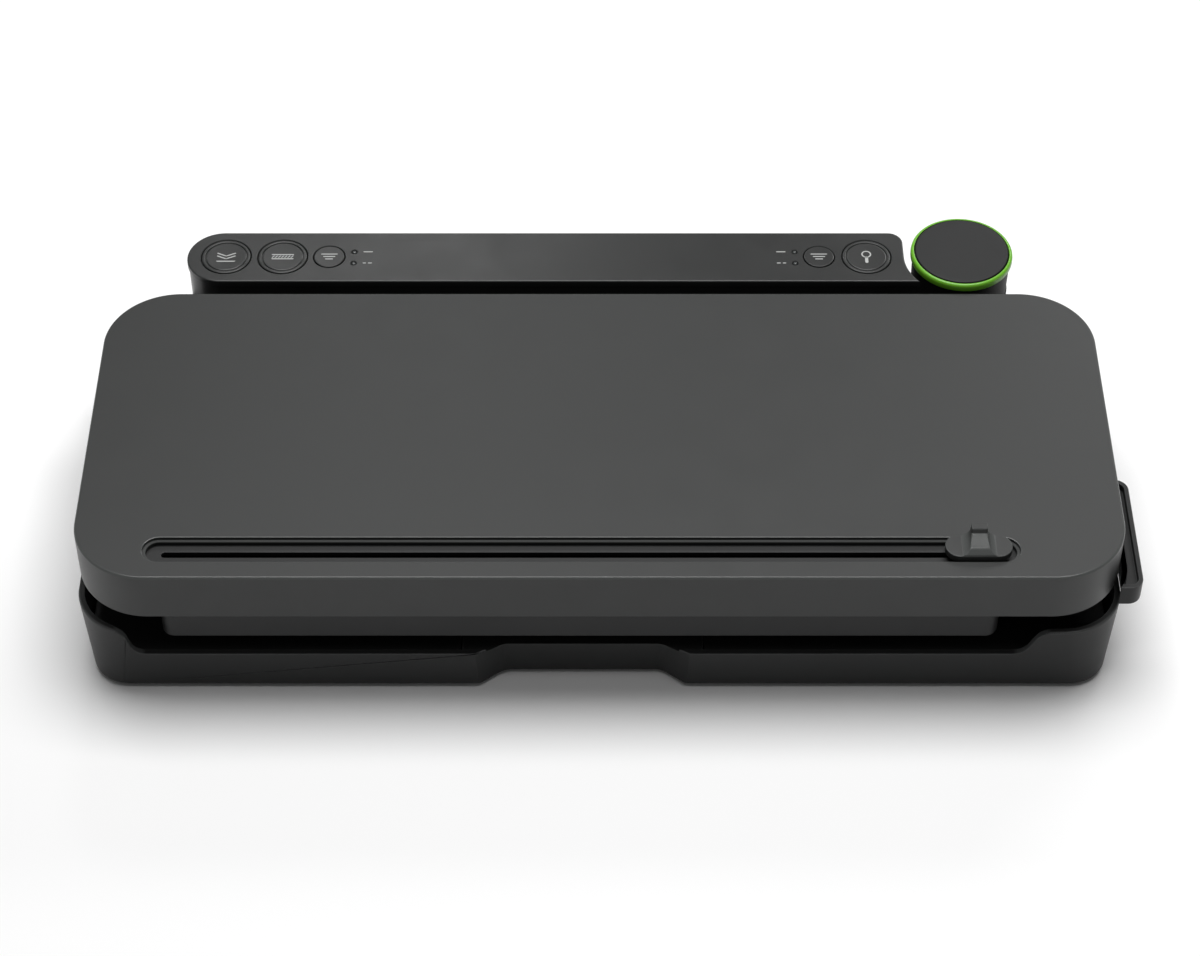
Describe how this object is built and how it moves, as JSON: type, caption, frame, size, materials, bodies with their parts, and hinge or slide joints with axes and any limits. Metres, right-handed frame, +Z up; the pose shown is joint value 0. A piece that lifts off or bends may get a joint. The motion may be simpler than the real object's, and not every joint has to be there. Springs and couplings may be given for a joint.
{
  "type": "vacuum sealer",
  "caption": "Countertop vacuum sealer with a hinged lid, sliding bag cutter, side latch lever, rear button panel and a docked handheld sealer.",
  "frame": {"origin": "middle of the object's box at the surface the feet stand on", "axes": "+X to the operator's right along the lid, +Y from the front to the rear tower, +Z up"},
  "size_m": [0.4097, 0.201, 0.0748],
  "materials": {
    "lid_plastic": "dark grey moulded plastic, fine satin texture",
    "base_plastic": "near-black moulded plastic, satin",
    "deck_plastic": "black moulded plastic",
    "tower_plastic": "dark grey moulded plastic, satin",
    "handheld_plastic": "dark grey fine-textured plastic",
    "green_plastic": "bright green gloss plastic",
    "light_lens": "smoked translucent lens",
    "gasket_rubber": "soft black rubber and foam",
    "seal_silicone": "red-brown silicone strip",
    "heat_bar": "heat-resistant moulding",
    "bright_steel": "bright steel",
    "motor_steel": "zinc-plated motor can",
    "tape": "woven heat-resistant tape",
    "circuit_board": "green board with solder mask",
    "winding": "varnished winding and tape",
    "tube_rubber": "translucent silicone tube"
  },
  "bodies": {
    "base": {"base_tub": "base_plastic", "base_deck": "deck_plastic", "foot_1": "gasket_rubber", "foot_2": "gasket_rubber", "foot_3": "gasket_rubber", "foot_4": "gasket_rubber", "base_screw_1": "bright_steel", "base_screw_2": "bright_steel", "base_screw_3": "bright_steel", "base_screw_4": "bright_steel", "drip_tray": "deck_plastic", "lower_gasket": "gasket_rubber", "seal_bar": "heat_bar", "heating_strip": "bright_steel", "ptfe_tape": "tape", "hinge_bracket_left": "base_plastic", "hinge_bracket_right": "base_plastic", "hinge_pin_left": "bright_steel", "hinge_pin_right": "bright_steel", "cord_gland": "gasket_rubber", "panel_housing": "tower_plastic", "panel_cover": "tower_plastic", "status_light_1": "light_lens", "status_light_2": "light_lens", "status_light_3": "light_lens", "status_light_4": "light_lens", "control_board": "circuit_board", "button_keypad": "gasket_rubber", "pump_motor": "motor_steel", "pump_head": "heat_bar", "solenoid_valve": "heat_bar", "vacuum_tube": "tube_rubber", "handheld_tube": "tube_rubber", "power_board": "circuit_board", "transformer": "winding", "lid_microswitch": "deck_plastic", "handheld_dock": "base_plastic"},
    "lid": {"lid_shell": "lid_plastic", "lid_inner": "deck_plastic", "upper_gasket": "gasket_rubber", "seal_pad": "seal_silicone", "cutter_rail": "deck_plastic"},
    "cutter": {"cutter_slider": "lid_plastic", "blade_carrier": "deck_plastic", "cutter_blade": "bright_steel"},
    "latch": {"latch_lever": "base_plastic", "latch_shaft": "bright_steel", "latch_hook_left": "bright_steel", "latch_hook_right": "bright_steel"},
    "rotor": {"motor_shaft": "bright_steel", "motor_fan": "deck_plastic"},
    "handheld": {"handheld_body": "handheld_plastic", "handheld_ring": "green_plastic", "handheld_cap": "handheld_plastic", "handheld_nozzle": "gasket_rubber"},
    "vacuum_button_body": {"vacuum_button": "tower_plastic"},
    "seal_button_body": {"seal_button": "tower_plastic"},
    "food_mode_button_body": {"food_mode_button": "tower_plastic"},
    "task_mode_button_body": {"task_mode_button": "tower_plastic"},
    "handheld_button_body": {"handheld_button": "tower_plastic"}
  },
  "joints": [
    {"name": "lid_hinge", "type": "hinge", "parent": "base", "child": "lid", "pos_m": [0, 0.0445, 0.058], "axis": [-1, 0, 0], "range_deg": [-2, 80]},
    {"name": "cutter_slide", "type": "slide", "parent": "lid", "child": "cutter", "axis": [-1, 0, 0], "range_m": [0, 0.3]},
    {"name": "latch_turn", "type": "hinge", "parent": "base", "child": "latch", "pos_m": [0, -0.0125, 0.024], "axis": [1, 0, 0], "range_deg": [0, 16]},
    {"name": "motor_spin", "type": "hinge", "parent": "base", "child": "rotor", "pos_m": [0, 0.0787, 0.024], "axis": [1, 0, 0], "continuous": true},
    {"name": "handheld_lift", "type": "slide", "parent": "base", "child": "handheld", "axis": [0, 0, 1], "range_m": [0, 0.05]},
    {"name": "vacuum_button_press", "type": "slide", "parent": "base", "child": "vacuum_button_body", "axis": [0, 0, -1], "range_m": [0, 0.0008], "stiffness_N_per_m": 400, "springref_m": -0.0008},
    {"name": "seal_button_press", "type": "slide", "parent": "base", "child": "seal_button_body", "axis": [0, 0, -1], "range_m": [0, 0.0008], "stiffness_N_per_m": 400, "springref_m": -0.0008},
    {"name": "food_mode_button_press", "type": "slide", "parent": "base", "child": "food_mode_button_body", "axis": [0, 0, -1], "range_m": [0, 0.0008], "stiffness_N_per_m": 400, "springref_m": -0.0008},
    {"name": "task_mode_button_press", "type": "slide", "parent": "base", "child": "task_mode_button_body", "axis": [0, 0, -1], "range_m": [0, 0.0008], "stiffness_N_per_m": 400, "springref_m": -0.0008},
    {"name": "handheld_button_press", "type": "slide", "parent": "base", "child": "handheld_button_body", "axis": [0, 0, -1], "range_m": [0, 0.0008], "stiffness_N_per_m": 400, "springref_m": -0.0008}
  ]
}
